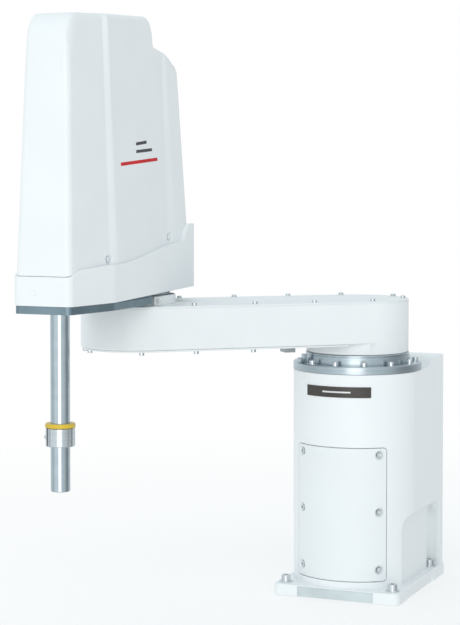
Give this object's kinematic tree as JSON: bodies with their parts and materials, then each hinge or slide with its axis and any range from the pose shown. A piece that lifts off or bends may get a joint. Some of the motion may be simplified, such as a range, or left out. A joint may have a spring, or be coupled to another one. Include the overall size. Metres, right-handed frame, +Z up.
{
  "type": "scara robot arm",
  "caption": "Four-axis SCARA robot arm: bolted pedestal base, two horizontal swinging links and a hollow vertical shaft that slides and turns, under a tall white cover.",
  "frame": {"origin": "on the first joint's vertical axis, at the underside of the base", "axes": "+Z up along the first joint's axis; the curved front of the base with its access panel faces -Y, and the connectors face +Y"},
  "size_m": [0.4206, 0.64, 0.806],
  "materials": {
    "casting_paint": "cool white industrial paint, fine orange peel, semi-gloss",
    "panel_paint": "cool white paint on sheet metal, semi-gloss",
    "cover_plastic": "cool white moulded cover, satin, fine texture",
    "label": "dark brown-grey adhesive label, satin",
    "machined_steel": "turned steel with fine concentric marks",
    "chrome": "ground and hard-chromed shaft",
    "screw_steel": "plated socket head screws",
    "aluminium": "bare machined aluminium",
    "dark_aluminium": "bare cast aluminium, mid grey, satin",
    "dark_metal": "black-coated metal, satin",
    "dark_plastic": "black moulded plastic",
    "brass": "turned brass",
    "rubber": "black toothed-belt rubber",
    "yellow_resin": "amber-yellow resin bumper ring"
  },
  "bodies": {
    "base": {"base_casting": "casting_paint", "base_front_panel": "panel_paint", "panel_screw_1": "screw_steel", "panel_screw_2": "screw_steel", "panel_screw_3": "screw_steel", "panel_screw_4": "screw_steel", "panel_screw_5": "screw_steel", "panel_screw_6": "screw_steel", "name_plate": "label", "j1_flange": "machined_steel", "j1_reducer": "machined_steel", "j1_motor": "dark_metal", "base_bolt_1": "screw_steel", "base_bolt_2": "screw_steel", "base_bolt_3": "screw_steel", "base_bolt_4": "screw_steel", "j1_stop_block": "machined_steel", "rear_panel": "aluminium", "power_inlet": "dark_metal", "signal_inlet": "dark_metal", "air_fitting_1": "brass", "air_fitting_2": "brass", "air_fitting_3": "brass", "backup_battery": "dark_plastic"},
    "arm1": {"arm1_casting": "casting_paint", "arm1_top_cover": "panel_paint", "arm1_bottom_cover": "panel_paint", "j1_output_flange": "machined_steel", "j2_reducer": "machined_steel", "arm1_stop_tab": "dark_plastic"},
    "arm2": {"arm2_frame": "dark_aluminium", "arm2_skirt": "cover_plastic", "arm2_cover": "cover_plastic", "j2_output_flange": "machined_steel", "j2_motor": "dark_metal", "z_bracket": "aluminium", "j4_bracket": "aluminium", "j3_motor": "dark_metal", "j4_motor": "dark_metal", "spline_bearing_housing": "machined_steel", "screw_bearing_housing": "machined_steel", "j4_belt": "rubber", "j3_belt": "rubber", "cover_screw_1": "screw_steel", "cover_screw_2": "screw_steel", "cover_screw_3": "screw_steel", "cover_screw_4": "screw_steel", "nose_plug": "cover_plastic"},
    "spline_rotor": {"spline_nut": "machined_steel", "j4_shaft_pulley": "aluminium"},
    "shaft": {"z_shaft": "chrome", "lower_stop_collar": "machined_steel", "stop_bumper": "yellow_resin", "upper_stop_collar": "machined_steel"},
    "screw_rotor": {"screw_nut": "machined_steel", "j3_nut_pulley": "aluminium"},
    "j3_motor_rotor": {"j3_motor_pulley": "aluminium"},
    "j4_motor_rotor": {"j4_motor_pulley": "aluminium"}
  },
  "joints": [
    {"name": "j1_turn", "type": "hinge", "parent": "base", "child": "arm1", "pos_m": [0, 0, 0], "axis": [0, 0, 1], "range_deg": [-119.3, 220.7]},
    {"name": "j2_turn", "type": "hinge", "parent": "arm1", "child": "arm2", "pos_m": [-0.2515, -0.20585, 0], "axis": [0, 0, 1], "range_deg": [-195.7, 94.3]},
    {"name": "j4_turn", "type": "hinge", "parent": "arm2", "child": "spline_rotor", "pos_m": [-0.2515, -0.43085, 0], "axis": [0, 0, 1], "range_deg": [-360, 360]},
    {"name": "j3_slide", "type": "slide", "parent": "spline_rotor", "child": "shaft", "axis": [0, 0, 1], "range_m": [-0.094, 0.106]},
    {"name": "screw_nut_turn", "type": "hinge", "parent": "arm2", "child": "screw_rotor", "pos_m": [-0.2515, -0.43085, 0], "axis": [0, 0, 1], "range_deg": [-1700, 1915]},
    {"name": "j3_motor_turn", "type": "hinge", "parent": "arm2", "child": "j3_motor_rotor", "pos_m": [-0.2515, -0.35585, 0], "axis": [0, 0, 1], "range_deg": [-3400, 3830]},
    {"name": "j4_motor_turn", "type": "hinge", "parent": "arm2", "child": "j4_motor_rotor", "pos_m": [-0.2515, -0.27785, 0], "axis": [0, 0, 1], "range_deg": [-1010, 1010]}
  ],
  "couplings": [
    {"joint": "screw_nut_turn", "follows": "j3_slide", "rad_per_m": 314.16},
    {"joint": "j3_motor_turn", "follows": "j3_slide", "rad_per_m": 628.32},
    {"joint": "j4_motor_turn", "follows": "j4_turn", "ratio": 2.8}
  ]
}
